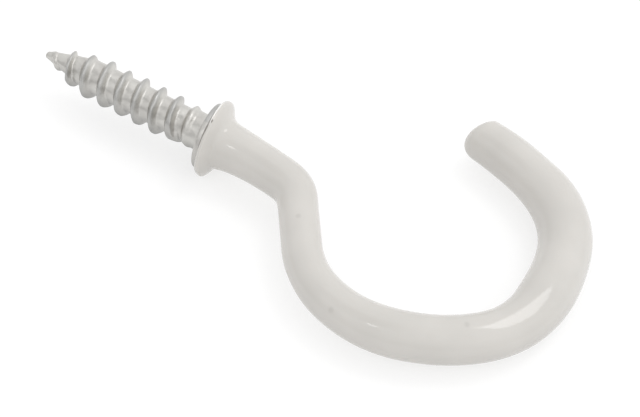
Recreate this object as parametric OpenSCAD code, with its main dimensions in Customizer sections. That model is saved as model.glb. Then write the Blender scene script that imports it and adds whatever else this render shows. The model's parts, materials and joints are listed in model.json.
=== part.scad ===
// Plastic-coated shouldered screw hook, lying on its side as it comes to rest.
// It is drawn first with the screw's axis along X, the collar's seat at X = 0, the
// hook in the XY plane and its belly towards -Y. It is then laid on the floor, Z = 0.

/* [Thread] */
// Length from the collar's seat to the point
screw_length = 18.3; // [13:0.1:30]
// Diameter over the thread's crests
thread_d = 4.4; // [4:0.1:5.5]
// Diameter of the core between the threads
root_d = 3.15; // [2.6:0.05:3.4]
// Distance from one crest to the next
pitch = 1.92; // [1.4:0.02:2.4]
// Length of the tapered gimlet point
point_length = 5.3; // [3:0.1:8]
// Half the width of a thread's foot
thread_foot = 0.54; // [0.3:0.02:0.6]
// Half the width of the flat on a crest
crest_flat = 0.07; // [0.04:0.01:0.15]
// Diameter of the plain shank behind the thread
shank_d = 3.55; // [3.5:0.05:4]
// Length of the plain shank
shank_length = 1.5; // [1.2:0.1:5]
// Radius of the fillet between the shank and the collar's seat
shank_fillet = 0.5; // [0.3:0.05:0.6]
// Turn of the thread round the screw's axis
thread_turn = 69; // [0:1:359]

/* [Collar] */
// Diameter of the steel flange
collar_d = 6.5; // [5.6:0.1:9]
// Thickness of the flange at its rim
collar_rim = 0.85; // [0.8:0.05:1.6]
// Length of the cone between the flange and the wire
collar_cone = 1.3; // [0.8:0.1:2.4]
// Lean of the collar towards the screw on the side of the hook's end
collar_lean = 4.5; // [0:0.5:6]

/* [Hook wire] */
// Diameter of the steel wire inside the coating
wire_d = 3.4; // [2.8:0.1:3.4]
// Straight neck, from the seat to the first curve
neck_length = 2.2; // [2:0.1:12]
// Radius of the slight bow of the neck
neck_bow_radius = 46; // [30:1:90]
// Turn of the slight bow of the neck
neck_bow_turn = 8.5; // [4:0.5:12]
// Radius of the tight first bend
first_bend_radius = 3.3; // [3:0.1:6]
// Turn of the tight first bend
first_bend_turn = 46; // [30:1:60]
// Straight leg between the first bend and the bow
leg_length = 5.5; // [2:0.5:12]
// Mean radius of the hook's bow
bow_radius = 11; // [9:0.5:20]
// Straight end past the bow
end_length = 0.5; // [0.5:0.5:12]

/* [Coating] */
// Thickness of the coating on the collar's rim
coat_on_rim = 0.5; // [0.3:0.05:0.8]
// Thickness of the coating where it is thinnest, on the leg
coat_thin = 0.17; // [0.1:0.01:0.3]
// Thickness of the coating where it sagged, at the outside of the bow
coat_thick = 0.88; // [0.6:0.02:1.1]
// Thickness of the coating at the hook's end
coat_end = 0.42; // [0.3:0.02:0.7]
// Height that the coating climbs in the corner between the collar and the neck
corner_rise = 1.13; // [0.8:0.01:1.2]
// Distance that the coating sagged towards the belly in that corner
corner_sag = 0.18; // [0:0.02:0.24]
// Bare strip of the flange's rim, half-way up
bare_strip = 0.25; // [0.22:0.01:0.3]
// Lean of the coating's edge on the rim, for each mm of height
edge_lean = 0.06; // [0:0.01:0.06]

/* [Hidden] */

steel_colour = [0.72, 0.72, 0.70];
coating_colour = [0.88, 0.87, 0.85];

thread_sides = 32;      // columns round the thread
wire_sides = 20;        // columns round the wire inside the coating
coat_sides = 40;        // columns round the coating
degrees_per_ring = 7;   // rings along a bend are no further apart than this
rings_on_straight = 3;
seam = 0.02;            // step that keeps two overlapping round pieces from touching all round

root_r = root_d / 2;
crest_r = thread_d / 2;
shank_r = shank_d / 2;
wire_r = wire_d / 2;
collar_r = collar_d / 2;
rim_r = collar_r + coat_on_rim;

// ---- Route of the wire: pieces of [radius, turn], or [length, 0] where it is straight ----

// The hand-formed bow: its radii are shares of bow_radius. It is flatter along the
// bottom, tighter at the outer corner and nearly straight at its end.
BOW = [[0.87, 34], [1.02, 37], [1.48, 27.5], [0.82, 42], [1.67, 21.5], [0.89, 49], [2.4, 15]];

ROUTE = concat(
    [[neck_length, 0], [neck_bow_radius, -neck_bow_turn]],
    [[first_bend_radius, -first_bend_turn], [leg_length, 0]],
    [for (bend = BOW) [bend[0] * bow_radius, bend[1]]],
    [[end_length, 0]]
);

function piece_length(piece) =
    piece[1] == 0 ? piece[0] : piece[0] * abs(piece[1]) * PI / 180;

// A place is [x, y, heading, distance from the seat]. This is the one at a share of a piece.
function along(piece, from, share) =
    let (
        heading = from[2] + share * piece[1],
        swing = sign(piece[1]) * piece[0],
        step = piece[1] == 0
            ? share * piece[0] * [cos(heading), sin(heading)]
            : swing * [sin(heading) - sin(from[2]), cos(from[2]) - cos(heading)]
    )
    [from[0] + step[0], from[1] + step[1], heading, from[3] + share * piece_length(piece)];

function ring_count(piece) =
    piece[1] == 0 ? rings_on_straight : ceil(abs(piece[1]) / degrees_per_ring);

function walk(k = 0, from = [0, 0, 0, 0]) =
    k == len(ROUTE)
    ? [from]
    : concat(
        [for (i = [0 : ring_count(ROUTE[k]) - 1]) along(ROUTE[k], from, i / ring_count(ROUTE[k]))],
        walk(k + 1, along(ROUTE[k], from, 1))
    );

function place_at(distance, k = 0, from = [0, 0, 0, 0]) =
    let (reach = piece_length(ROUTE[k]))
    distance <= from[3] + reach || k == len(ROUTE) - 1
    ? along(ROUTE[k], from, (distance - from[3]) / reach)
    : place_at(distance, k + 1, along(ROUTE[k], from, 1));

PLACES = walk();
END = PLACES[len(PLACES) - 1];
wire_length = END[3];

// ---- Radius of the coating along the wire ----

// [share of the wire's length, thickness]
COAT = [
    [0.00, 0.30], [0.11, 0.30], [0.155, 0.32], [0.18, coat_thin], [0.30, coat_thin + 0.03],
    [0.37, 0.35], [0.45, 0.54], [0.60, 0.57], [0.64, 0.68], [0.69, coat_thick], [0.75, 0.82],
    [0.81, 0.82], [0.87, 0.74], [0.915, 0.55], [0.96, 0.54], [1.00, coat_end]
];
corner_length = 2.3;    // the rise in the corner at the collar fades over this length
sag_length = 1.2;       // and the sag over this one

function coat_r(distance) =
    wire_r + lookup(distance / wire_length, COAT) + corner_rise * exp(-distance / corner_length);

function sag_at(distance) =
    corner_sag * min(1, max(0, distance - collar_rim)) * exp((flank_end - distance) / sag_length);

// The bead on the rim and the flank behind it: [distance from the seat, radius]
rim_end = collar_rim + 0.16;
flank_end = collar_rim + 1;
function flank_r(share) = share * rim_r + (1 - share) * coat_r(flank_end);
BEAD = [
    [bare_strip, collar_r + 0.04],
    [bare_strip + 0.05, collar_r + 0.35 * coat_on_rim],
    [bare_strip + 0.17, collar_r + 0.8 * coat_on_rim],
    [bare_strip + 0.38, rim_r],
    [rim_end, rim_r],
    [collar_rim + 0.31, flank_r(0.82)],
    [collar_rim + 0.45, flank_r(0.67)],
    [collar_rim + 0.92, flank_r(0.15)],
    [flank_end, flank_r(0)]
];
EDGE_RINGS = 4;         // so many of them share the lean of the coating's edge

// ---- Sweeps: a ring is [place, radius, forward lean per mm of height, and per mm sideways] ----

function ring_points(ring, sides) =
    let (
        place = ring[0],
        forward = [cos(place[2]), sin(place[2]), 0],
        aside = [-sin(place[2]), cos(place[2]), 0]
    )
    [
        for (i = [0 : sides - 1])
            let (
                up = ring[1] * sin(360 * i / sides),
                out = ring[1] * cos(360 * i / sides)
            )
            [place[0], place[1], up] + out * aside + (ring[2] * up + ring[3] * out) * forward
    ];

module sweep(rings, sides) {
    last = len(rings) - 1;
    walls = [
        for (k = [0 : last - 1], i = [0 : sides - 1])
            let (
                a = k * sides + i,
                b = k * sides + (i + 1) % sides
            )
            each [[a, a + sides, b], [b, a + sides, b + sides]]
    ];
    start_cap = [for (i = [0 : sides - 1]) i];
    end_cap = [for (i = [sides - 1 : -1 : 0]) last * sides + i];
    polyhedron(
        [for (ring = rings) each ring_points(ring, sides)],
        concat(walls, [start_cap, end_cap]),
        convexity = 6
    );
}

// A round end over the last place: it closes on a small flat, and leans as its wire was cut.
end_skew = 0.32;
function dome(place, radius, height) = [
    for (a = [22, 42, 60, 76])
        [
            [
                place[0] + height * sin(a) * cos(place[2]),
                place[1] + height * sin(a) * sin(place[2]),
                place[2]
            ],
            radius * pow(cos(a), 0.75), 0, end_skew * sin(a)
        ]
];

// ---- Steel ----

shank_depth = 0.5 * collar_rim;     // the shank and the thread's core run this far into the collar
run_out = 1.3 * pitch;              // the crest sinks into the shank over this length

point_r = 0.2;                      // the core's radius behind the sharp point

function beyond_point(x) = screw_length + x;
function before_shank(x) = -shank_length - x;

// The root swells from the point to its full size, and a little more to meet the shank.
function root_at(x) =
    before_shank(x) < -0.4 * shank_length ? min(root_r, wire_r) - 0.1
    : beyond_point(x) < point_length
    ? point_r + (root_r - point_r) * pow(beyond_point(x) / point_length, 0.9)
    : root_r + (shank_r - seam - root_r) * max(0, 1 - max(0, before_shank(x)) / (0.5 * pitch));

// The crest grows over the point, and runs out before the shank.
function crest_at(x) =
    let (
        grown = pow(min(1, max(0, beyond_point(x) - 0.3) / (0.6 * point_length)), 1.35),
        left = pow(min(1, max(0, before_shank(x)) / run_out), 0.4)
    )
    root_at(x) + min(grown, left) * (crest_r - root_r);

// The rows of one turn: [place along the pitch, 1 on a crest or 0 at the root]
PROFILE = [
    [0, 0],
    [0.5 - thread_foot / pitch, 0],
    [0.5 - crest_flat / pitch, 1],
    [0.5 + crest_flat / pitch, 1],
    [0.5 + thread_foot / pitch, 0]
];
turn_rows = len(PROFILE);
thread_start = -screw_length + 0.08;
last_row = turn_rows * ceil((-shank_length + 0.05 - thread_start) / pitch);

function thread_point(row, column) =
    let (
        profile = PROFILE[row % turn_rows],
        turns = floor(row / turn_rows) + profile[0] + column / thread_sides,
        x = thread_start + pitch * turns,
        r = profile[1] == 1 ? crest_at(x) : root_at(x),
        angle = 360 * column / thread_sides
    )
    [x, r * cos(angle), r * sin(angle)];

// Each row follows the helix. One turn on, a row meets the first column again, a pitch later.
function thread_index(row, column) =
    column == thread_sides ? thread_index(row + turn_rows, 0)
    : row <= last_row ? row * thread_sides + column
    : (last_row + 1) * thread_sides + row - last_row - 1;

// The loop of points round either end of the thread: once round a row, then back along the seam
function end_loop(row) = concat(
    [for (column = [0 : thread_sides]) thread_index(row, column)],
    [for (back = [turn_rows - 1 : -1 : 1]) thread_index(row + back, 0)]
);

module threaded_core() {
    points = concat(
        [for (row = [0 : last_row], column = [0 : thread_sides - 1]) thread_point(row, column)],
        [for (row = [last_row + 1 : last_row + turn_rows]) thread_point(row, 0)]
    );
    point_tip = len(points);
    inner_tip = point_tip + 1;
    near_loop = end_loop(0);
    far_loop = end_loop(last_row);
    count = len(near_loop);
    walls = [
        for (row = [0 : last_row - 1], column = [0 : thread_sides - 1])
            let (
                a = thread_index(row, column),
                b = thread_index(row, column + 1),
                c = thread_index(row + 1, column),
                d = thread_index(row + 1, column + 1)
            )
            each [[a, c, b], [b, c, d]]
    ];
    point_faces = [
        for (k = [0 : count - 1]) [point_tip, near_loop[k], near_loop[(k + 1) % count]]
    ];
    inner_faces = [
        for (k = [0 : count - 1]) [far_loop[k], inner_tip, far_loop[(k + 1) % count]]
    ];
    inner_x = thread_point(last_row, thread_sides / 2)[0];
    rotate([thread_turn, 0, 0])
        polyhedron(
            concat(points, [[-screw_length, 0, 0], [inner_x, 0, 0]]),
            concat(walls, point_faces, inner_faces),
            convexity = 10
        );
}

module shank() {
    translate([-shank_length, 0, 0])
        rotate([0, 90, 0])
            cylinder(r = shank_r, h = shank_length + shank_depth, $fn = 96);
}

// Fillet between the shank and the seat, from its foot on the shank: [radius, distance]
FILLET = [
    for (a = [75, 50, 25, 0])
        [shank_r + shank_fillet * (1 - sin(a)), -shank_fillet * (1 - cos(a))]
];

module collar() {
    fillet_foot = [[0, -shank_fillet], [shank_r - 0.1, -shank_fillet]];
    rotate([0, 90, collar_lean])
        rotate_extrude($fn = 96)
            polygon(concat(fillet_foot, FILLET, [
                [collar_r - 0.1, 0],
                [collar_r, 0.1],
                [collar_r, collar_rim - 0.15],
                [collar_r - 0.2, collar_rim],
                [wire_r + 0.9, collar_rim + 0.2 * collar_cone],
                [wire_r + 0.4, collar_rim + 0.5 * collar_cone],
                [wire_r + seam, collar_rim + collar_cone],
                [0, collar_rim + collar_cone]
            ]));
}

// The wire from inside the collar to its rounded end
module bent_wire() {
    run = [for (place = PLACES) if (place[3] > shank_depth) [place, wire_r, 0, 0]];
    sweep(concat([[place_at(shank_depth), wire_r, 0, 0]], run, dome(END, wire_r, 0.85)), wire_sides);
}

// The collar and the wire: what the coating fits round
module coated_steel() {
    collar();
    bent_wire();
}

// ---- Coating ----

// A place of the collar, which leans about the centre of its seat
function collar_place(x) = [x * cos(collar_lean), x * sin(collar_lean), collar_lean, x];

// The centre of the coating, which lies a little nearer the belly than the wire's does
function sagged(place) =
    place + sag_at(place[3]) * [sin(place[2]), -cos(place[2]), 0, 0];

module coating_outside() {
    bead = [
        for (k = [0 : len(BEAD) - 1])
            [sagged(collar_place(BEAD[k][0])), BEAD[k][1], k < EDGE_RINGS ? edge_lean : 0, 0]
    ];
    run = [
        for (place = PLACES)
            if (place[3] > flank_end + 0.3) [sagged(place), coat_r(place[3]), 0, 0]
    ];
    sweep(concat(bead, run, dome(END, coat_r(wire_length), 1.25)), coat_sides);
}

// ---- Rest: the rim of the collar and the outside of the bow touch the floor ----

far_x = max([for (place = PLACES) place[0]]);
far_r = max([for (place = PLACES) if (place[0] > far_x - 0.5) coat_r(place[3])]);
rest_tilt = atan((rim_r - far_r) / (far_x - rim_end));

rest_height = max(concat(
    [rim_end * sin(rest_tilt) + rim_r * cos(rest_tilt)],
    [for (place = PLACES) place[0] * sin(rest_tilt) + coat_r(place[3]) * cos(rest_tilt)]
));
right_x = max([for (place = PLACES) place[0] * cos(rest_tilt) + coat_r(place[3])]);
tip_side_y = max([for (place = PLACES) place[1] + coat_r(place[3]) * abs(cos(place[2]))]);
belly_y = min([for (place = PLACES) place[1] - coat_r(place[3]) * abs(cos(place[2]))]);
left_x = -screw_length * cos(rest_tilt);

module at_rest() {
    translate([-(left_x + right_x) / 2, -(belly_y + tip_side_y) / 2, rest_height])
        rotate([0, rest_tilt, 0])
            children();
}

// ---- Nodes ----

module steel_hook() {
    color(steel_colour)
        at_rest() {
            threaded_core();
            shank();
            coated_steel();
        }
}

module plastic_coating() {
    color(coating_colour)
        at_rest()
            difference() {
                coating_outside();
                coated_steel();
            }
}

steel_hook();
plastic_coating();
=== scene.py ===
"""Looks of the plastic-coated screw hook: fine meshes of its steel and its coating, and the studio."""

import json
import math

import bmesh
import bpy
import numpy as np
from mathutils import Matrix, Vector, noise


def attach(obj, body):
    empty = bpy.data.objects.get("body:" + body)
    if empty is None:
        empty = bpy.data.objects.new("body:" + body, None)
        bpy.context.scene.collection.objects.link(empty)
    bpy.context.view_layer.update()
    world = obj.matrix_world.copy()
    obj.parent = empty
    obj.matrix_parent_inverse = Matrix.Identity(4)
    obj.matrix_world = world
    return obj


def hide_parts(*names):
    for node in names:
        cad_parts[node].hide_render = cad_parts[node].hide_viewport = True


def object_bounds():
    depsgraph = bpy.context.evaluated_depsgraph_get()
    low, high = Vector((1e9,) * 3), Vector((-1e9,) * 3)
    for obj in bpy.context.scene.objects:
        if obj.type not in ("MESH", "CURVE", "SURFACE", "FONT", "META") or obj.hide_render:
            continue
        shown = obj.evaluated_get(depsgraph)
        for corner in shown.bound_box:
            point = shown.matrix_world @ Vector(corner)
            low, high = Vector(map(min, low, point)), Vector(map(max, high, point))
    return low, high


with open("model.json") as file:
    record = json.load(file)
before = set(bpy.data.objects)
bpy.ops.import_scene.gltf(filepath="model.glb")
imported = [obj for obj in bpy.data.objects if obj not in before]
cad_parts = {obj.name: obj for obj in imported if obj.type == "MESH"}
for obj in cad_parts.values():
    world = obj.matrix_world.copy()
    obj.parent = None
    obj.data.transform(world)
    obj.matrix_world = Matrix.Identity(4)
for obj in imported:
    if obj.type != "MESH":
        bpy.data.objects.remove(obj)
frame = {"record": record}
cad_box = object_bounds()

MM = 0.001

# ---- Sizes in millimetres, the same as in the part's source ----

SCREW_LENGTH = 18.3
CREST_R = 2.2
ROOT_R = 1.575
PITCH = 1.92
POINT_LENGTH = 5.3
POINT_R = 0.2
POINT_EASE = 0.9                    # power of the core's growth behind the point
THREAD_START = 0.08                 # the helix starts this far behind the sharp point
THREAD_FOOT = 0.54                  # half width of the ridge at its foot
CREST_FLAT = 0.07                   # and on its crest
CREST_START = 0.3                   # the crest rises from this far behind the point,
CREST_GROWN = 0.6 * POINT_LENGTH    # over this length,
CREST_EASE = 1.35                   # as this power of the distance
THREAD_TURN = math.radians(69)
RUN_OUT = 1.3 * PITCH
SHANK_R = 1.775
SHANK_LENGTH = 1.5
SHANK_FILLET = 0.5

COLLAR_R = 3.25
COLLAR_RIM = 0.85
COLLAR_CONE = 1.3
COLLAR_LEAN = math.radians(4.5)

WIRE_R = 1.7
NECK_LENGTH = 2.2
NECK_BOW = (46, -8.5)
FIRST_BEND = (3.3, -46)
LEG_LENGTH = 5.5
BOW_RADIUS = 11
# (radius as a share of BOW_RADIUS, turn in degrees)
BOW = [(0.87, 34), (1.02, 37), (1.48, 27.5), (0.82, 42), (1.67, 21.5), (0.89, 49), (2.4, 15)]
END_LENGTH = 0.5
END_SKEW = 0.32
DOME_EASE = 0.75                    # how round the ends of the wire and of the coating are

COAT_ON_RIM = 0.5
RIM_R = COLLAR_R + COAT_ON_RIM
FLANK_END = COLLAR_RIM + 1
CORNER_RISE = 1.13
CORNER_LENGTH = 2.3
CORNER_SAG = 0.18
SAG_LENGTH = 1.2
COAT_THIN = 0.17
COAT_THICK = 0.88
COAT_END = 0.42
# (share of the wire's length, thickness)
COAT = [
    (0.00, 0.30), (0.11, 0.30), (0.155, 0.32), (0.18, COAT_THIN), (0.30, COAT_THIN + 0.03),
    (0.37, 0.35), (0.45, 0.54), (0.60, 0.57), (0.64, 0.68), (0.69, COAT_THICK), (0.75, 0.82),
    (0.81, 0.82), (0.87, 0.74), (0.915, 0.55), (0.96, 0.54), (1.00, COAT_END),
]

# ---- The same route and coating, eased ----

BEND_EASE = 0.45                    # the wire's bends ease in and out over this length
COAT_EASE = 0.8                     # and so does the coating's thickness
LEAN_LEAD = 0.35                    # how far before the flank's end its rings start to follow the wire
LEAN_CHANGE = 1                     # and the length over which they turn
WIRE_START = 0.4                    # the wire starts this far inside the collar
DOME_SWEEP = math.radians(87)       # the ends close on a small flat
WIRE_DOME = 0.85                    # how far the wire's end stands out
COAT_DOME = 1.25                    # and the coating's

# ---- The coating's edge on the flange, a little further back than in the part's source ----

BARE_STRIP = 0.38
RIM_END = COLLAR_RIM + 0.26
# the bead's edge: (distance past the bare strip, share of COAT_ON_RIM)
BEAD = [(0, 0.08), (0.05, 0.35), (0.17, 0.8), (0.38, 1)]
EDGE_DEPTH = 0.2                    # the coating's edge goes this deep into the rim
# the flank behind the bead: (distance past the rim, share of the height over the wire's coating)
FLANK = [(0.42, 0.84), (0.54, 0.67), (0.95, 0.15), (1.1, 0.02)]
FLANK_GAP = 0.3                     # the profile goes on along the wire from this far past the flank's end,
FLANK_RUN = 3                       # up to this far past it
RUN_GAP = 0.1                       # gap between the softened profile and the first ring of the plain run
PROFILE_STEP = 0.04                 # spacing of the profile's rings
BEAD_SOFT = 0.07                    # rounding of the bead
FLANK_SOFT = 0.2                    # rounding of the flank
SOFT_CHANGE = 0.4                   # one gives way to the other over this length
EDGE_TILT = (-0.05, 0.06)           # how far the coating's edge is pushed forward, for each mm out and up
EDGE_TILTED = (0.2, 0.5)            # it is whole up to this far past the edge, and fades over this length

# ---- Unevenness that is too fine for the part's source ----

SEED_STEP = (17.3, 5.1, 9.7)        # each seed reads the noise this much further on
# waves: (height, size, seed)
COAT_WAVES = [(0.022, 5.0, 1), (0.004, 1.3, 2)]
CALM_EDGE = 0.5                     # the coating's waves start over this length behind its edge
EDGE_WAVES = [(0.02, 0.5, 6)]
EDGE_WAVES_LENGTH = 0.25            # how far behind the edge these reach
SCREW_WAVES = [(0.025, 1.3, 3), (0.018, 0.55, 4)]
CREST_WAVES = [(0.05, 1.6, 5)]
CREST_WANDER = [(0.05, 1.1, 8)]     # how far the crest strays along the screw
SCREW_WAVES_R = 2                   # the screw's waves are read on a cylinder of this radius
FLANGE_WAVES = [(0.012, 1.2, 7)]
FLANGE_CALM = (0.2, 0.6)            # they start this far outside the shank, over this length

RIM_TAPER = 0.07                    # the flange's rim is this much smaller at its far edge
RIM_ROUND = 0.3                     # rounding of the flange's edge on the seat's side
SEAT_TILT = (-0.03, 0.03)           # how far the flange's seat is pushed forward, for each mm out and up
SEAT_TILTED = 1.2                   # the tilt grows from the shank over this length
# painted shade on a stretch of the flange's rim
RIM_SHADE_STRETCH = (62, 48, 12)             # middle, half width and fade of the rim's darker stretch, in degrees
RIM_SHADE_BAND = (0.4, 0.3)              # it starts this far in from the rim, over this length
TIP_WORN = 0.2                      # the point is blunt by this much
TIP_ROUND = 0.15                    # and rounded over this length
TIP_BEND = (-0.16, -0.12)           # how far the point leans aside and down
THREAD_SHIFT = 0.13                 # how much nearer to the hook the rolled thread lies
SHIFT_START = (4.5, 2)              # from this far behind the point, over this length,
SHIFT_END = 1.5                     # and back over this length before the collar
RUN_OUT_LAG = 0.35                  # the crest sinks into the shank this much later, as a share of RUN_OUT
# (turns before the shank, depth) where the rolled crest is low
CREST_DENTS = [(4.3, 0.15), (5.3, 0.08), (6.3, 0.22), (7.3, 0.1)]
DENT_WIDTH = 0.22                   # in turns
# where the crest was knocked flat: turns before the shank, shift, added half width, share of its height lost
FLATTENED = (0.75, 0.2, 0.2, 0.4)
NARROW = 0.7                        # how wide the thread is near the point, as a share of its full width
NARROW_END = (3, 2.5)               # it widens from this far behind the point, over this length
NICK = (0.55, 106, 0.12)            # distance and angle of a nick near the coating's edge, and its radius
LIP = (0.3, 0.15, 0.07)             # distance past the coating's edge, width and height of its raised lip
LIP_STRETCH = (90, 24)              # middle and half width of that lip, in degrees
FLAT_SPOT = (41.9, 3.4, 106, 21)    # middle and half length along the wire; angle and half width in degrees
# painted shade in the crevice where the coating's edge meets the flange's rim: its width, fade and stretch
EDGE_SHADE_WIDTH = 0.22                    # width of the dark line at the coating's edge
EDGE_FADE = 0.1                     # width over which it fades
EDGE_SHADE_STRETCH = (105, 54, 18, 0.3)   # its middle, half width and fade in degrees, and its share elsewhere
WIDE_STRETCH = (115, 10, 0.12)      # middle and half width of its widest stretch in degrees, and added width
FAINT_SPOTS = [(15.0, 99), (25.0, 138), (36.55, 90)]   # distances and angles of small darker spots in the coating
SPOT_R = 0.22                       # radius at which they are half gone
SPOT_SHARE = 0.14                   # how dark they are, as a share of the dark line

# ---- Meshes ----

COAT_SIDES = 144                    # points in a ring
COLLAR_SIDES = 160
WIRE_SIDES = 48
THREAD_COLUMNS = 128
RIDGE_ROWS = 19                     # rows of points over the thread's ridge
RIDGE_REACH = 1.1                   # the rows over the ridge reach this many times its half width
VALLEY_ROWS = ([0, 0.07, 0.14], [0.86, 0.93])   # the others of a turn, before and after the ridge
SCREW_END = 0.3                     # the screw ends this far inside the collar
SAME_PLACE = 0.0005                 # vertices closer than this are one
TINY = 0.001                        # the least width that is divided by

# ---- Finishes: sizes, radii and heights in metres ----

PVC_TONES = [(0.3, (0.608, 0.589, 0.558)), (0.7, (0.648, 0.627, 0.594))]
PVC_TONE_SIZE = 0.005
PVC_DUST = (0.54, 0.52, 0.485)
DUST_SPACING = 0.004
DUST_R = 0.00012
DUST_CORE = 0.6                     # a speck is whole up to this share of its radius
# painted shade in the crevice at the coating's edge; the same colour darkens the nick and the darker spots
PVC_NICK_AND_EDGE_SHADE = (0.22, 0.205, 0.185)
# painted highlight along the coating's raised lip
PVC_LIP_HIGHLIGHT = (0.95, 0.94, 0.91)
# painted shade on the PVC's side that faces the table: (share, tint)
PVC_SHADE_BELOW = (0.26, (0.3, 0.29, 0.27))
PVC_ROUGHNESS = (0.06, 0.12)
PVC_ROUGHNESS_SIZE = 0.002
# reliefs: (size, detail, distortion, strength, height)
PVC_SWELL = (0.0025, 1, 0, 0.3, 0.00003)
PVC_GRAIN = (0.0004, 2, 0, 0.15, 0.000005)

ZINC_TONES = [(0.3, (0.56, 0.545, 0.52)), (0.7, (0.67, 0.66, 0.63))]
ZINC_TONE_SIZE = 0.0012
# darker crests: worn zinc, and painted shade on the undersides and edges of the thread's lobes; the same
# tint paints shade on the flange's rim
ZINC_WORN_AND_SHADE = (0.45, 0.45, 0.44)
WORN_AND_SHADE_SHARE = 0.8                    # how far the worn and shaded places take that colour
WORN_AND_SHADE_FROM = (0.45, 0.95)            # the wear and the painted shade start and are whole at these values of the layer worn
# painted shade on the zinc's side that faces the table: (share, tint)
ZINC_SHADE_BELOW = (0.58, (0.24, 0.24, 0.235))
ZINC_ROUGHNESS = (0.34, 0.42)
ZINC_ROUGHNESS_SIZE = 0.0006
ZINC_DENTS = (0.0009, 3, 0.4, 0.5, 0.00016)
ZINC_GRAIN = (0.00012, 2, 0, 0.2, 0.00001)

# The PVC's and the zinc's (share, tint) for the side that faces the table paint shade there. The share is
# whole where the normal's Z is under the first of these, and gone over the second.
SHADE_BELOW_SPAN = (-0.4, 0.45)

# ---- Camera: angles in degrees, the rest in millimetres; the target is from the middle of the object ----

VIEW_AZIMUTH = -27.78
VIEW_ELEVATION = 49.58
VIEW_ROLL = 4.44
VIEW_DISTANCE = 219.6
VIEW_TARGET = (3.75, -3.89, 0)
LENS = 135
SENSOR = 36
CLIP = (0.01, 10)                   # in metres

# ---- Studio, in metres ----

FLOOR_HALF = 3
FLOOR_GREY = 0.4
FLOOR_ROUGHNESS = 0.9
FLOOR_GLOW = 0.62

SKY_LEVEL = 0.985                   # strength of the sky, before its slope and shades
SKY_SLOPE = (0.15, 0.02, 0.17)      # how much brighter the sky is towards +X, +Y and +Z
HORIZON_SHADE = 0.6                 # what is left of the sky's strength at the horizon
HORIZON_UP = (0, 0.25, 0.97)        # the darker horizon reaches higher in front of the object than behind it
HORIZON_TOP = 0.45                  # how far towards HORIZON_UP the darker horizon ends
DARK_SPOT = (-0.30, -0.21, 0.93)    # direction of the dark patch that the metal mirrors
DARK_SPOT_EDGE = (0.93, 0.98)       # cosines of the angles from its middle where it starts and is full
DARK_SHADE = 0.5                    # what is left of the sky's strength in it

# (name, azimuth and elevation in degrees, diameter, watts)
LAMPS = [("back_lamp", 149, 64, 0.16, 0.19), ("front_lamp", -8, 57, 0.06, 0.034)]
LAMP_DISTANCE = 0.5


# ---- The hook's own frame: X along the screw from the collar's seat, Y towards the free end ----

def hook_frame():
    """The matrix from the hook's own frame, in millimetres, to the row's frame, from the record's mounts."""
    mounts = {mount["name"]: mount for mount in frame["record"]["mounts"]}
    along = -Vector(mounts["screw_thread"]["axis"])
    on_axis = Vector(mounts["screw_thread"]["pos_m"])
    seat_normal = Vector(mounts["collar_seat"]["axis"])
    seat_point = Vector(mounts["collar_seat"]["pos_m"])
    seat = on_axis + along * ((seat_point - on_axis).dot(seat_normal) / along.dot(seat_normal))
    aside = Vector((0, 1, 0))
    up = along.cross(aside)
    axes = Matrix((along, aside, up)).transposed().to_4x4()
    return Matrix.Translation(seat) @ axes @ Matrix.Scale(MM, 4)


# ---- Small helpers ----

def smooth_step(x):
    x = np.clip(x, 0, 1)
    return x * x * (3 - 2 * x)


def blur(values, step, width):
    """A running Gaussian mean; step is the spacing of the values, and both ends are held."""
    reach = int(3 * width / step) + 1
    weights = np.exp(-0.5 * (np.arange(-reach, reach + 1) * step / width) ** 2)
    padded = np.concatenate([np.full(reach, values[0]), values, np.full(reach, values[-1])])
    return np.convolve(padded, weights / weights.sum(), "valid")


def waves(points, layers, detail=2):
    """Smooth noise at each point: the sum of layers, each (height, size of the features, seed)."""
    total = np.zeros(points.shape[:-1])
    for height, size, seed in layers:
        shift = Vector([seed * step for step in SEED_STEP])
        values = [noise.fractal(Vector(p) + shift, 1.0, 2.0, detail) for p in points.reshape(-1, 3) / size]
        total += height * np.reshape(values, total.shape)
    return total


def ring_degrees(sides):
    """The angle of each point of a ring: 0 on the inner side of the hook, and 90 on top."""
    return np.linspace(0, 360, sides, endpoint=False)


def add_points(mesh, points, layer=None, values=None):
    """Adds a grid of points, with a value for each in the layer, and returns the rows of vertices."""
    verts = [[mesh.verts.new(p) for p in row] for row in points]
    if layer is not None:
        for row, row_values in zip(verts, values):
            for vert, value in zip(row, row_values):
                vert[layer] = value
    return verts


def add_tube(mesh, points, layer=None, values=None):
    """Adds a tube of rings of points (rows by columns), capped at both ends, with a value for each point."""
    verts = add_points(mesh, points, layer, values)
    columns = points.shape[1]
    for a, b in zip(verts[:-1], verts[1:]):
        for i in range(columns):
            k = (i + 1) % columns
            mesh.faces.new((a[i], b[i], b[k], a[k]))
    mesh.faces.new(verts[0])
    mesh.faces.new(verts[-1][::-1])


def make_piece(name, mesh, material):
    """The object made from a mesh in the hook's own frame, with smooth shading."""
    bmesh.ops.recalc_face_normals(mesh, faces=mesh.faces)
    data = bpy.data.meshes.new(name)
    mesh.to_mesh(data)
    mesh.free()
    data.shade_smooth()
    data.transform(hook_frame())
    data.materials.append(material)
    piece = bpy.data.objects.new(name, data)
    bpy.context.scene.collection.objects.link(piece)
    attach(piece, "root")
    return piece


# ---- Route of the wire ----

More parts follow.
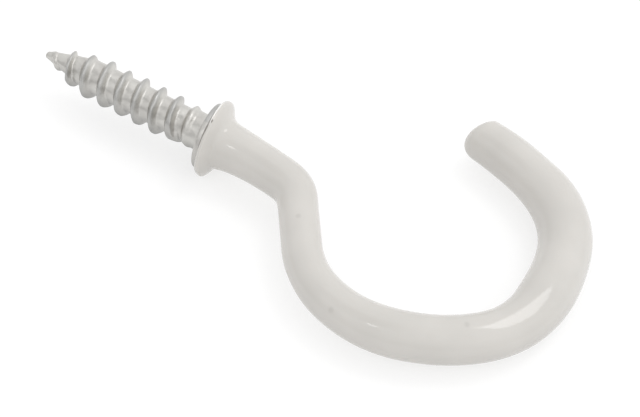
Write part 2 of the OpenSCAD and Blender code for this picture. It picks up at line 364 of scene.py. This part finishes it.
def route(every=15):
    """Places along the wire, every so many steps: distance, centre (x, y) and heading."""
    pieces = [(NECK_LENGTH, 0), NECK_BOW, FIRST_BEND, (LEG_LENGTH, 0)]
    pieces += [(share * BOW_RADIUS, turn) for share, turn in BOW]
    pieces += [(END_LENGTH, 0)]
    lengths = [a if turn == 0 else a * abs(math.radians(turn)) for a, turn in pieces]
    ends = np.cumsum(lengths)
    step = 0.01
    distance = np.arange(0, ends[-1], step)
    which = np.minimum(np.searchsorted(ends, distance, "right"), len(pieces) - 1)
    bends = np.array([0 if turn == 0 else math.copysign(1 / a, turn) for a, turn in pieces])
    heading = np.cumsum(blur(bends[which], step, BEND_EASE)) * step
    centres = np.stack([np.cumsum(np.cos(heading)), np.cumsum(np.sin(heading))], 1) * step
    return distance[::every], centres[::every], heading[::every]


def rings(centres, headings, radii, sides, skew=0, lean=0):
    """Rings of points round the centres. skew and lean push their points forward, for each mm out or up."""
    angle = np.linspace(0, 2 * np.pi, sides, endpoint=False)
    radii = np.asarray(radii)
    radii = radii[:, None] if radii.ndim == 1 else radii
    out = radii * np.cos(angle)
    up = radii * np.sin(angle)
    forward = np.stack([np.cos(headings), np.sin(headings)], 1)
    aside = np.stack([-np.sin(headings), np.cos(headings)], 1)
    push = out * np.reshape(skew, (-1, 1)) + up * np.reshape(lean, (-1, 1))
    flat = centres[:, None] + out[..., None] * aside[:, None] + push[..., None] * forward[:, None]
    return np.concatenate([flat, up[..., None]], 2)


def on_collar_axis(x):
    """Centres of rings on the collar's leaning axis."""
    return x[:, None] * np.array([math.cos(COLLAR_LEAN), math.sin(COLLAR_LEAN)])


def dome(centre, heading, radius, height, steps=14):
    """Centres, headings, radii and skews of the rings of a rounded end, which leans as its wire was cut."""
    angle = np.linspace(0, DOME_SWEEP, steps + 1)[1:]
    reach = height * np.sin(angle)
    centres = centre + reach[:, None] * np.array([math.cos(heading), math.sin(heading)])
    radii = radius * np.cos(angle) ** DOME_EASE
    return centres, np.full(steps, heading), radii, END_SKEW * np.sin(angle)


# ---- Coating ----

def coat_radius(distance, length):
    shares, thickness = zip(*COAT)
    base = blur(np.interp(distance / length, shares, thickness), distance[1] - distance[0], COAT_EASE)
    return WIRE_R + base + CORNER_RISE * np.exp(-distance / CORNER_LENGTH)


def edge_corners(flank_r):
    """Corners of the coating's profile: from inside the rim, over the bead, and down the flank."""
    bead = [(BARE_STRIP + past, COLLAR_R + share * COAT_ON_RIM) for past, share in BEAD]
    flank = [(COLLAR_RIM + past, share * RIM_R + (1 - share) * flank_r) for past, share in FLANK]
    return np.array([(BARE_STRIP, COLLAR_R - EDGE_DEPTH), *bead, (RIM_END, RIM_R), *flank])


def coat_profile(distance, radius):
    """Distance and radius of the coating's rings: its softened bead and flank, then the wire's run."""
    near = (distance > FLANK_END + FLANK_GAP) & (distance < FLANK_END + FLANK_RUN)
    corners = edge_corners(np.interp(FLANK_END, distance, radius))
    line = np.concatenate([corners, np.stack([distance[near], radius[near]], 1)])
    along = np.concatenate([[0], np.cumsum(np.hypot(*np.diff(line, axis=0).T))])
    fine = np.arange(0, along[-1], PROFILE_STEP)
    even = np.stack([np.interp(fine, along, line[:, k]) for k in (0, 1)])
    bead = np.stack([blur(values, PROFILE_STEP, BEAD_SOFT) for values in even])
    flank = np.stack([blur(values, PROFILE_STEP, FLANK_SOFT) for values in even])
    share = smooth_step((even[0] - RIM_END) / SOFT_CHANGE)
    x, r = bead * (1 - share) + flank * share
    far = distance > x[-1] + RUN_GAP
    return np.concatenate([x, distance[far]]), np.concatenate([r, radius[far]])


def coat_centres(x, wire):
    """Centres and headings of the coating's rings: on the collar's axis, then sagging from the wire's."""
    distance, centres, heading = wire
    on_wire = np.stack([np.interp(x, distance, centres[:, k]) for k in (0, 1)], 1)
    share = smooth_step((x - FLANK_END + LEAN_LEAD) / LEAN_CHANGE)
    flat = on_collar_axis(x) * (1 - share[:, None]) + on_wire * share[:, None]
    headings = COLLAR_LEAN * (1 - share) + np.interp(x, distance, heading) * share
    sag = CORNER_SAG * np.clip(x - COLLAR_RIM, 0, 1) * np.exp((FLANK_END - x) / SAG_LENGTH)
    return flat + sag[:, None] * np.stack([np.sin(headings), -np.cos(headings)], 1), headings


def flat_spot(distance, radius, sides):
    """How much lower the coating is where it set flat on top, at the outside of the bow."""
    middle, half_length, angle, half_width = FLAT_SPOT
    reach = np.sqrt(np.clip(1 - ((distance - middle) / half_length) ** 2, 0, 1))
    half = np.radians(half_width) * reach[:, None]
    off = np.radians(np.abs(ring_degrees(sides) - angle))
    inside = np.clip(1 - (off / np.maximum(half, TINY)) ** 2, 0, 1)
    return radius[:, None] * (half * inside) ** 2 / 4


def lip(distance, sides):
    """1 on the lip that stands up near the coating's edge, and 0 away from it."""
    past = distance[:, None] - BARE_STRIP - LIP[0]
    off = ring_degrees(sides) - LIP_STRETCH[0]
    return np.exp(-(past / LIP[1]) ** 2 - (off / LIP_STRETCH[1]) ** 4)


def painted_edge_shade(past, angle):
    """How much shade is painted in the crevice at the coating's edge, at each distance past it and each
    angle.
    """
    middle, half_width, fade, least = EDGE_SHADE_STRETCH
    seen = least + (1 - least) * smooth_step((half_width - np.abs(angle - middle)) / fade)
    middle, half_width, added = WIDE_STRETCH
    width = EDGE_SHADE_WIDTH + added * np.exp(-((angle - middle) / half_width) ** 2)
    return smooth_step((width - past) / EDGE_FADE) * seen


def coat_marks_and_light(distance, sides):
    """1 on its nick and where shade is painted at its edge, less on its faint spots, and down to -1 on its
    lip, where a highlight is painted.
    """
    angle = ring_degrees(sides)
    past = distance[:, None] - BARE_STRIP
    off = np.hypot(past - NICK[0], RIM_R * np.radians(angle - NICK[1]))
    marks_and_light = np.maximum(painted_edge_shade(past, angle), smooth_step(2 - off / NICK[2])) - lip(distance, sides)
    for place, turn in FAINT_SPOTS:
        off = np.hypot(distance[:, None] - place, WIRE_R * np.radians(angle - turn))
        marks_and_light += SPOT_SHARE * smooth_step(1.5 - off / SPOT_R)
    return marks_and_light


def coat_swell(points, distance, radii):
    """How far the coating stands out from its even shape, at each point of its rings."""
    sides = points.shape[1]
    swell = waves(points, COAT_WAVES) * smooth_step((distance - BARE_STRIP) / CALM_EDGE)[:, None]
    return swell - flat_spot(distance, radii, sides) + LIP[2] * lip(distance, sides)


def coating_points():
    """The rings of the coating, and the value of the layer edge at each point: its nick, spots, painted
    shade and painted highlight.
    """
    sides = COAT_SIDES
    wire = route()
    x, r = coat_profile(wire[0], coat_radius(wire[0], wire[0][-1]))
    flat, headings = coat_centres(x, wire)
    end = dome(flat[-1], headings[-1], r[-1], COAT_DOME)
    at_edge = 1 - smooth_step((x - BARE_STRIP - EDGE_TILTED[0]) / EDGE_TILTED[1])
    flat = np.concatenate([flat, end[0]])
    headings = np.concatenate([headings, end[1]])
    radii = np.concatenate([r, end[2]])
    skew = np.concatenate([EDGE_TILT[0] * at_edge, end[3]])
    lean = np.concatenate([EDGE_TILT[1] * at_edge, 0 * end[2]])
    distance = np.concatenate([x, np.full(len(end[2]), wire[0][-1])])
    even = rings(flat, headings, radii, sides, skew, lean)
    swell = coat_swell(even, distance, radii)
    points = rings(flat, headings, radii[:, None] + swell, sides, skew, lean)
    ragged = smooth_step(1 - (distance[:, None] - BARE_STRIP) / EDGE_WAVES_LENGTH)
    points[..., 0] += waves(even, EDGE_WAVES) * ragged
    return points, coat_marks_and_light(distance, sides)


def make_coating():
    """The coating; the layer edge holds its nick, its darker spots, the shade painted at its edge and the
    highlight painted on its lip.
    """
    mesh = bmesh.new()
    edge = mesh.verts.layers.float.new("edge")
    points, marks_and_light = coating_points()
    add_tube(mesh, points, edge, marks_and_light)
    piece = make_piece("coating_skin", mesh, plastic())
    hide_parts("plastic_coating")


# ---- Steel ----

def dented(turns_to_shank):
    """How much lower the rolled crest is, where it was dented."""
    low = 0 * turns_to_shank
    for place, depth in CREST_DENTS:
        low = low + depth * np.exp(-((turns_to_shank - place) / DENT_WIDTH) ** 2)
    return low


def flattened(turns_to_shank):
    """1 where the crest was knocked flat, and 0 away from there."""
    return np.exp(-((turns_to_shank - FLATTENED[0]) / DENT_WIDTH) ** 2)


def thread_rows():
    """Places of the thread's rows, in turns; the crest is half way through each turn."""
    reach = RIDGE_REACH * THREAD_FOOT / PITCH
    ridge = np.linspace(0.5 - reach, 0.5 + reach, RIDGE_ROWS)
    shape = np.concatenate([VALLEY_ROWS[0], ridge, VALLEY_ROWS[1]])
    turns = int(SCREW_LENGTH / PITCH) + 3
    return np.concatenate([shape + turn for turn in range(-1, turns)])


def ridge_form(past_crest, past_point, flat):
    """The thread's shape across its ridge, from 0 at its foot to 1 on its crest."""
    from_crest = np.abs(past_crest - FLATTENED[1] * flat) - FLATTENED[2] * flat
    widened = smooth_step((past_point - NARROW_END[0]) / NARROW_END[1])
    foot = THREAD_FOOT * (NARROW + (1 - NARROW) * widened)
    rise = np.clip((foot - from_crest) / (foot - CREST_FLAT), 0, 1)
    return np.minimum(0.5 * rise + 0.5 * smooth_step(rise), 1 - FLATTENED[3] * flat)


def crest_growth(past_point, to_shank):
    """How much of its height the thread has, from 0 at the point to 1, and down again at the shank."""
    grown = np.clip((past_point - CREST_START) / CREST_GROWN, 0, 1) ** CREST_EASE
    left = smooth_step(to_shank / RUN_OUT + RUN_OUT_LAG)
    return np.minimum(grown, left)


def core_radius(past_point, to_shank, share):
    """The radius between the ridges: the worn point, the core, and the step up to the shank."""
    worn = np.sqrt(np.clip((past_point - TIP_WORN) / TIP_ROUND, 0, 1))
    core = (POINT_R + (ROOT_R - POINT_R) * share ** POINT_EASE) * worn
    return core + (SHANK_R - ROOT_R) * smooth_step(1 - to_shank / (0.5 * PITCH))


def thread_points():
    """The threaded screw as rows that follow the helix, and how high each point stands on the crest."""
    rows = thread_rows()[:, None]
    angle = np.linspace(0, 2 * np.pi, THREAD_COLUMNS + 1)
    x = THREAD_START - SCREW_LENGTH + PITCH * (rows + angle / (2 * np.pi))
    x = np.clip(x, TIP_WORN - SCREW_LENGTH, SCREW_END)
    past_point = SCREW_LENGTH + x
    to_shank = -SHANK_LENGTH - x
    past_crest = (rows % 1 - 0.5) * PITCH
    crest_turn = (to_shank + past_crest) / PITCH
    share = np.clip(past_point / POINT_LENGTH, 0, 1)
    form = ridge_form(past_crest, past_point, flattened(crest_turn))
    height = form * crest_growth(past_point, to_shank)

    turned = angle + THREAD_TURN
    out, up = np.cos(turned), np.sin(turned)
    spot = np.stack(np.broadcast_arrays(x, SCREW_WAVES_R * out, SCREW_WAVES_R * up), 2)
    rough = waves(spot, SCREW_WAVES) * np.clip(past_point - TIP_WORN, 0, 1) * smooth_step(-x)
    uneven = waves(spot, CREST_WAVES) - dented(crest_turn)
    r = core_radius(past_point, to_shank, share) + height * (CREST_R - ROOT_R + uneven) + rough
    shifted = smooth_step((past_point - SHIFT_START[0]) / SHIFT_START[1]) * smooth_step(-x / SHIFT_END)
    along = x + THREAD_SHIFT * shifted + height * waves(spot, CREST_WANDER)
    bent = (1 - share) ** 2
    return np.stack([along, r * out + TIP_BEND[0] * bent, r * up + TIP_BEND[1] * bent], 2), height


def add_thread(mesh, worn):
    """Adds the screw, from its point to inside the collar, with a cap at each end."""
    points, height = thread_points()
    verts = add_points(mesh, points, worn, height)
    for a, b in zip(verts[:-1], verts[1:]):
        for i in range(len(a) - 1):
            mesh.faces.new((a[i], b[i], b[i + 1], a[i + 1]))
    bmesh.ops.remove_doubles(mesh, verts=mesh.verts, dist=SAME_PLACE)
    open_edges = [edge for edge in mesh.edges if edge.is_boundary]
    bmesh.ops.holes_fill(mesh, edges=open_edges, sides=0)


def rounded(corners, steps=5):
    """A profile whose corners are rounded; each corner is (x, radius, rounding)."""
    line = [corners[0][:2]]
    for before, corner, after in zip(corners[:-2], corners[1:-1], corners[2:]):
        middle = Vector(corner[:2])
        back = (Vector(before[:2]) - middle).normalized() * corner[2]
        on = (Vector(after[:2]) - middle).normalized() * corner[2]
        for k in range(steps + 1):
            line.append(middle + back * (1 - k / steps) ** 2 + on * (k / steps) ** 2)
    line.append(corners[-1][:2])
    return np.array([tuple(p) for p in line])


def collar_profile():
    """Distances and radii of the fillet, the flange, and the cone that the coating hides."""
    hidden_r = SHANK_R - 0.3
    foot_r = SHANK_R - 0.04
    seat_r = SHANK_R + 0.7
    cone_r = WIRE_R + 0.9
    cone_end_r = WIRE_R + 0.02
    return rounded([
        (-SHANK_FILLET, hidden_r, 0),
        (-SHANK_FILLET, foot_r, 0),
        (0, foot_r, SHANK_FILLET),
        (0, seat_r, 0.1),
        (0, COLLAR_R, RIM_ROUND),
        (0.6 * COLLAR_RIM, COLLAR_R - 0.5 * RIM_TAPER, 0.05),
        (COLLAR_RIM, COLLAR_R - RIM_TAPER, 0.15),
        (COLLAR_RIM + 0.2 * COLLAR_CONE, cone_r, 0.1),
        (COLLAR_RIM + COLLAR_CONE, cone_end_r, 0),
    ]).T


def painted_rim_shade(r, sides):
    """1 where shade is painted on a stretch of the flange's rim, and 0 away from it."""
    middle, half_width, fade = RIM_SHADE_STRETCH
    off = np.abs(ring_degrees(sides) - middle)
    on_rim = smooth_step((r - COLLAR_R + RIM_SHADE_BAND[0]) / RIM_SHADE_BAND[1])
    return on_rim[:, None] * smooth_step((half_width - off) / fade + 0.5)


def collar_points():
    """The fillet and the steel flange, turned round the collar's leaning axis, and where shade is painted on
    the rim.
    """
    sides = COLLAR_SIDES
    x, r = collar_profile()
    centres = on_collar_axis(x)
    headings = np.full(len(x), COLLAR_LEAN)
    even = rings(centres, headings, r, sides)
    wavy = smooth_step((r - SHANK_R - FLANGE_CALM[0]) / FLANGE_CALM[1])
    uneven = waves(even, FLANGE_WAVES) * wavy[:, None]
    near_seat = smooth_step((r - SHANK_R) / SEAT_TILTED) * (1 - smooth_step(x / COLLAR_RIM))
    skew, lean = (tilt * near_seat for tilt in SEAT_TILT)
    return rings(centres, headings, r[:, None] + uneven, sides, skew, lean), painted_rim_shade(r, sides)


def wire_points():
    distance, centres, heading = route(30)
    run = distance > WIRE_START
    end = dome(centres[-1], heading[-1], WIRE_R, WIRE_DOME)
    return rings(
        np.concatenate([centres[run], end[0]]),
        np.concatenate([heading[run], end[1]]),
        np.concatenate([np.full(run.sum(), WIRE_R), end[2]]),
        WIRE_SIDES,
        np.concatenate([np.zeros(run.sum()), end[3]]),
    )


def make_steel():
    """The screw, the collar and the wire; the layer worn is 1 on the crests, darkened as worn zinc and as
    painted shade, and on the rim's painted shade.
    """
    mesh = bmesh.new()
    # the layer worn carries the crests' wear and painted shade, and the rim's painted shade
    worn = mesh.verts.layers.float.new("worn")
    add_thread(mesh, worn)
    flange, rim_shade = collar_points()
    add_tube(mesh, flange, worn, rim_shade)
    add_tube(mesh, wire_points())
    piece = make_piece("steel_skin", mesh, steel())
    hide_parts("steel_hook")


# ---- Materials ----

def new_material(name):
    material = bpy.data.materials.new(name)
    material.use_nodes = True
    return material, material.node_tree.nodes, material.node_tree.links


def noise_node(nodes, links, size, detail=3.0, distortion=0.0):
    """Noise over the object, with features of that size."""
    place = nodes.new("ShaderNodeTexCoord")
    texture = nodes.new("ShaderNodeTexNoise")
    texture.inputs["Scale"].default_value = 1 / size
    texture.inputs["Detail"].default_value = detail
    texture.inputs["Distortion"].default_value = distortion
    links.new(place.outputs["Object"], texture.inputs["Vector"])
    return texture.outputs["Fac"]


def ramp(nodes, links, source, stops):
    """A colour ramp; stops are (place, colour)."""
    node = nodes.new("ShaderNodeValToRGB")
    while len(node.color_ramp.elements) < len(stops):
        node.color_ramp.elements.new(0.5)
    for element, (place, colour) in zip(node.color_ramp.elements, stops):
        element.position = place
        element.color = (*colour, 1)
    links.new(source, node.inputs["Fac"])
    return node.outputs["Color"]


def spread(nodes, links, source, low, high, start=0.3, end=0.7):
    """The source's span from start to end, spread over low to high."""
    node = nodes.new("ShaderNodeMapRange")
    node.inputs["From Min"].default_value = start
    node.inputs["From Max"].default_value = end
    node.inputs["To Min"].default_value = low
    node.inputs["To Max"].default_value = high
    links.new(source, node.inputs["Value"])
    return node.outputs["Result"]


def relief(nodes, links, layer, below=None):
    """A normal with noise on it; layer is (size, detail, distortion, strength, height)."""
    size, detail, distortion, strength, height = layer
    source = noise_node(nodes, links, size, detail, distortion)
    node = nodes.new("ShaderNodeBump")
    node.inputs["Strength"].default_value = strength
    node.inputs["Distance"].default_value = height
    links.new(source, node.inputs["Height"])
    if below is not None:
        links.new(below, node.inputs["Normal"])
    return node.outputs["Normal"]


def attribute(nodes, name):
    node = nodes.new("ShaderNodeAttribute")
    node.attribute_name = name
    return node.outputs["Fac"]


def tinted(nodes, links, colour, share, tint):
    """The colour, moved towards the tint by the share."""
    node = nodes.new("ShaderNodeMix")
    node.data_type = "RGBA"
    links.new(share, node.inputs["Factor"])
    links.new(colour, node.inputs["A"])
    node.inputs["B"].default_value = (*tint, 1)
    return node.outputs["Result"]


def painted_shade_below(nodes, links, colour, share, tint):
    """Painted shade: the colour, moved towards the tint by up to the share where the surface faces the
    table.
    """
    place = nodes.new("ShaderNodeNewGeometry")
    parts = nodes.new("ShaderNodeSeparateXYZ")
    links.new(place.outputs["Normal"], parts.inputs["Vector"])
    facing = spread(nodes, links, parts.outputs["Z"], share, 0, *SHADE_BELOW_SPAN)
    return tinted(nodes, links, colour, facing, tint)


def dust(nodes, links):
    """1 in small specks strewn over the object, and 0 between them."""
    place = nodes.new("ShaderNodeTexCoord")
    texture = nodes.new("ShaderNodeTexVoronoi")
    texture.inputs["Scale"].default_value = 1 / DUST_SPACING
    links.new(place.outputs["Object"], texture.inputs["Vector"])
    edge = DUST_R / DUST_SPACING
    return spread(nodes, links, texture.outputs["Distance"], 1, 0, DUST_CORE * edge, edge)


def plastic():
    material, nodes, links = new_material("off_white_pvc")
    shader = nodes["Principled BSDF"]
    tone = ramp(nodes, links, noise_node(nodes, links, PVC_TONE_SIZE, 3), PVC_TONES)
    dusty = tinted(nodes, links, tone, dust(nodes, links), PVC_DUST)
    marks_and_light = attribute(nodes, "edge")
    # positive values of the layer edge paint shade at the coating's edge and darken its nick and spots
    dark = tinted(nodes, links, dusty, spread(nodes, links, marks_and_light, 0, 1, 0, 1), PVC_NICK_AND_EDGE_SHADE)
    # negative values of the layer edge paint a highlight on the lip
    pale = tinted(nodes, links, dark, spread(nodes, links, marks_and_light, 0, 1, 0, -1), PVC_LIP_HIGHLIGHT)
    links.new(painted_shade_below(nodes, links, pale, *PVC_SHADE_BELOW), shader.inputs["Base Color"])
    roughness = spread(nodes, links, noise_node(nodes, links, PVC_ROUGHNESS_SIZE), *PVC_ROUGHNESS)
    links.new(roughness, shader.inputs["Roughness"])
    shader.inputs["Subsurface Weight"].default_value = 0.1
    shader.inputs["Subsurface Radius"].default_value = (1.0, 0.9, 0.8)
    shader.inputs["Subsurface Scale"].default_value = 0.0005
    shader.inputs["IOR"].default_value = 1.5
    swell = relief(nodes, links, PVC_SWELL)
    links.new(relief(nodes, links, PVC_GRAIN, swell), shader.inputs["Normal"])
    return material


def steel():
    material, nodes, links = new_material("zinc_plate")
    shader = nodes["Principled BSDF"]
    tone = ramp(nodes, links, noise_node(nodes, links, ZINC_TONE_SIZE, 4), ZINC_TONES)
    # the worn tint darkens the crests as wear and as painted shade, and paints shade on the rim
    worn = spread(nodes, links, attribute(nodes, "worn"), 0, WORN_AND_SHADE_SHARE, *WORN_AND_SHADE_FROM)
    rolled = tinted(nodes, links, tone, worn, ZINC_WORN_AND_SHADE)
    links.new(painted_shade_below(nodes, links, rolled, *ZINC_SHADE_BELOW), shader.inputs["Base Color"])
    shader.inputs["Metallic"].default_value = 1
    roughness = spread(nodes, links, noise_node(nodes, links, ZINC_ROUGHNESS_SIZE), *ZINC_ROUGHNESS)
    links.new(roughness, shader.inputs["Roughness"])
    dents = relief(nodes, links, ZINC_DENTS)
    links.new(relief(nodes, links, ZINC_GRAIN, dents), shader.inputs["Normal"])
    return material


# ---- Studio ----

def view_axes():
    """The camera's right, up and forward directions."""
    azimuth, elevation, roll = (math.radians(a) for a in (VIEW_AZIMUTH, VIEW_ELEVATION, VIEW_ROLL))
    forward = Vector((
        math.sin(azimuth) * math.cos(elevation),
        math.cos(azimuth) * math.cos(elevation),
        -math.sin(elevation),
    ))
    right = forward.cross(Vector((0, 0, 1))).normalized()
    up = right.cross(forward)
    return (
        right * math.cos(roll) + up * math.sin(roll),
        up * math.cos(roll) - right * math.sin(roll),
        forward,
    )


def make_camera():
    middle = (cad_box[0] + cad_box[1]) / 2
    right, up, forward = view_axes()
    data = bpy.data.cameras.new("camera")
    data.lens = LENS
    data.sensor_width = SENSOR
    data.clip_start, data.clip_end = CLIP
    camera = bpy.data.objects.new("camera", data)
    camera.matrix_world = Matrix((right, up, -forward)).transposed().to_4x4()
    camera.location = middle + Vector(VIEW_TARGET) * MM - forward * VIEW_DISTANCE * MM
    bpy.context.scene.collection.objects.link(camera)
    bpy.context.scene.camera = camera


def make_floor():
    """A pale floor that glows a little, as a light table does."""
    data = bpy.data.meshes.new("floor")
    corners = [(x * FLOOR_HALF, y * FLOOR_HALF, 0) for x, y in ((-1, -1), (1, -1), (1, 1), (-1, 1))]
    data.from_pydata(corners, [], [(0, 1, 2, 3)])
    floor = bpy.data.objects.new("floor", data)
    bpy.context.scene.collection.objects.link(floor)
    material, nodes, _ = new_material("pale_floor")
    shader = nodes["Principled BSDF"]
    shader.inputs["Base Color"].default_value = (FLOOR_GREY, FLOOR_GREY, FLOOR_GREY, 1)
    shader.inputs["Roughness"].default_value = FLOOR_ROUGHNESS
    shader.inputs["Emission Color"].default_value = (1, 1, 1, 1)
    shader.inputs["Emission Strength"].default_value = FLOOR_GLOW
    data.materials.append(material)


def towards(nodes, links, direction):
    """How far the sky's point lies towards the direction."""
    place = nodes.new("ShaderNodeTexCoord")
    node = nodes.new("ShaderNodeVectorMath")
    node.operation = "DOT_PRODUCT"
    node.inputs[1].default_value = direction
    links.new(place.outputs["Generated"], node.inputs[0])
    return node.outputs["Value"]


def arithmetic(nodes, links, operation, a, b):
    """The operation on a and b, each a number or a socket."""
    node = nodes.new("ShaderNodeMath")
    node.operation = operation
    for socket, value in zip(node.inputs, (a, b)):
        if isinstance(value, (int, float)):
            socket.default_value = value
        else:
            links.new(value, socket)
    return node.outputs["Value"]


def make_world():
    """A soft bright dome, darker near the horizon, with one dark patch that the metal mirrors."""
    world = bpy.data.worlds.new("dome")
    world.use_nodes = True
    bpy.context.scene.world = world
    nodes, links = world.node_tree.nodes, world.node_tree.links
    level = arithmetic(nodes, links, "ADD", towards(nodes, links, SKY_SLOPE), SKY_LEVEL)
    low = spread(nodes, links, towards(nodes, links, HORIZON_UP), HORIZON_SHADE, 1, 0, HORIZON_TOP)
    spot = towards(nodes, links, Vector(DARK_SPOT).normalized())
    dark = spread(nodes, links, spot, 1, DARK_SHADE, *DARK_SPOT_EDGE)
    shade = arithmetic(nodes, links, "MULTIPLY", low, dark)
    strength = arithmetic(nodes, links, "MULTIPLY", level, shade)
    background = nodes["Background"]
    background.inputs["Color"].default_value = (1, 1, 1, 1)
    links.new(strength, background.inputs["Strength"])


def add_lamp(name, azimuth, elevation, diameter, watts):
    """A round lamp that faces the object."""
    a, e = math.radians(azimuth), math.radians(elevation)
    back = Vector((math.sin(a) * math.cos(e), -math.cos(a) * math.cos(e), math.sin(e)))
    data = bpy.data.lights.new(name, "AREA")
    data.shape = "DISK"
    data.size = diameter
    data.energy = watts
    lamp = bpy.data.objects.new(name, data)
    lamp.location = back * LAMP_DISTANCE
    lamp.rotation_euler = (-back).to_track_quat("-Z", "Y").to_euler()
    bpy.context.scene.collection.objects.link(lamp)


def make_lights():
    for lamp in LAMPS:
        add_lamp(*lamp)


make_coating()
make_steel()
make_world()
make_lights()
make_floor()
make_camera()
bpy.context.scene.view_settings.view_transform = "Standard"
